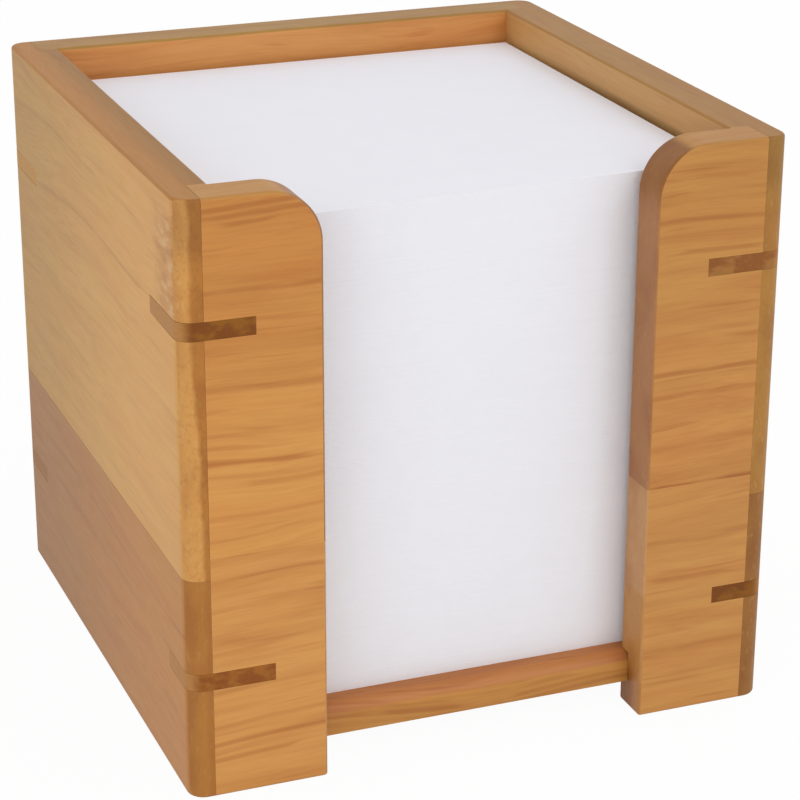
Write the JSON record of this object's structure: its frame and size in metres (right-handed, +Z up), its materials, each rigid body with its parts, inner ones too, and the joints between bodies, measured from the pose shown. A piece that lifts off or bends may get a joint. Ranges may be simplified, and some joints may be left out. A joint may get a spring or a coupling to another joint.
{
  "type": "memo pad holder",
  "caption": "Open-fronted wooden desk holder for square memo sheets, with a raised floor, splined corners and a stack of loose note paper that lifts out.",
  "frame": {"origin": "middle of the footprint, on the surface that the holder stands on", "axes": "+Z up, -Y towards the open front, +X to the right seen from the front"},
  "size_m": [0.1064, 0.1086, 0.1041],
  "materials": {
    "pale_board": "oiled, satin",
    "dark_board": "oiled, satin",
    "warm_board": "oiled, satin",
    "floor_board": "oiled, satin",
    "spline_wood": "oiled, satin",
    "note_paper": "matt, uncoated"
  },
  "bodies": {
    "holder": {"left_side_upper_board": "pale_board", "right_side_upper_board": "pale_board", "left_side_lower_board": "dark_board", "right_side_lower_board": "dark_board", "front_left_stile_upper_board": "warm_board", "front_right_stile_upper_board": "warm_board", "back_upper_board": "warm_board", "front_left_stile_lower_board": "warm_board", "front_right_stile_lower_board": "warm_board", "back_lower_board": "warm_board", "floor_panel": "floor_board", "front_left_upper_spline": "spline_wood", "front_left_lower_spline": "spline_wood", "front_right_upper_spline": "spline_wood", "front_right_lower_spline": "spline_wood", "back_left_upper_spline": "spline_wood", "back_left_lower_spline": "spline_wood", "back_right_upper_spline": "spline_wood", "back_right_lower_spline": "spline_wood"},
    "stack": {"note_stack": "note_paper"},
    "sheet": {"top_sheet": "note_paper"}
  },
  "joints": [
    {"name": "stack_lift", "type": "slide", "parent": "holder", "child": "stack", "axis": [0, 0, 1], "range_m": [0, 0.095]},
    {"name": "sheet_lift", "type": "slide", "parent": "stack", "child": "sheet", "axis": [0, 0, 1], "range_m": [0, 0.04]}
  ]
}
